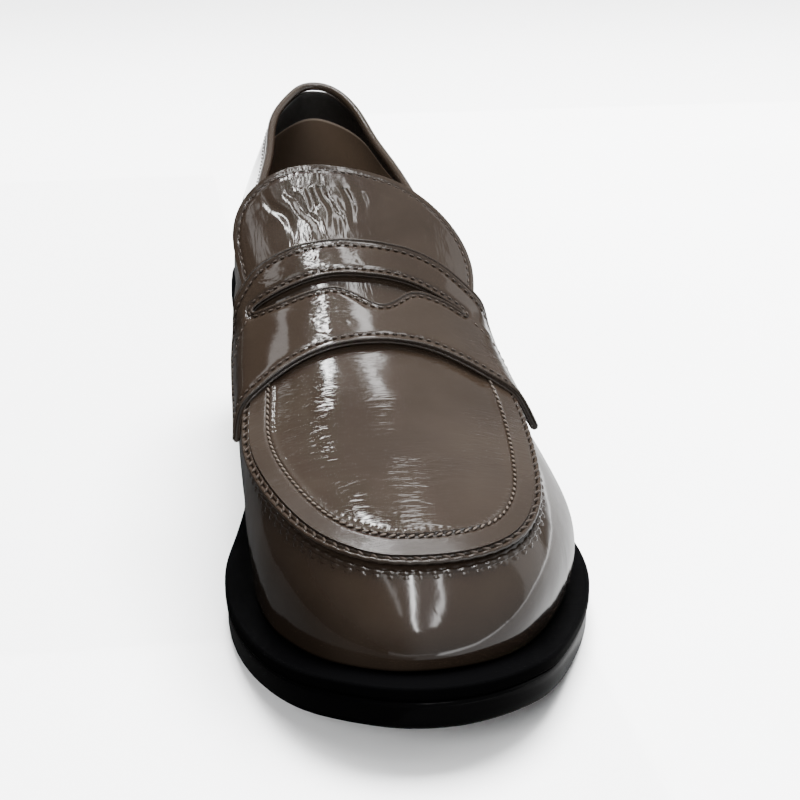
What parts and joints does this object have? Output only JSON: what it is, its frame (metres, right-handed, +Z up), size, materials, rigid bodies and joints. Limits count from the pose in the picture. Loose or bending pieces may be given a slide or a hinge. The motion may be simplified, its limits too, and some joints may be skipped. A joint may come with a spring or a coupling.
{
  "type": "loafer pump",
  "caption": "Left women's loafer pump with a block heel: patent upper over a last form, moccasin apron with tongue, slotted saddle strap, black welt and sole.",
  "frame": {"origin": "middle of the shoe's bounding box, on the floor under the sole", "axes": "+Z up, +Y from the toe to the heel, +X to the outer side of the foot"},
  "size_m": [0.0926, 0.2506, 0.1047],
  "materials": {
    "patent_leather": "crinkled patent, high gloss",
    "sock_lining": "matte lining leather",
    "black_welt": "satin black edge",
    "black_rubber": "matte black"
  },
  "bodies": {
    "root": {"upper": "patent_leather", "apron": "patent_leather", "moc_seam": "patent_leather", "saddle_strap": "patent_leather", "collar_binding": "patent_leather", "insole": "sock_lining", "welt": "black_welt", "outsole": "black_rubber", "heel_block": "black_welt", "heel_top_piece": "black_rubber"}
  },
  "joints": []
}
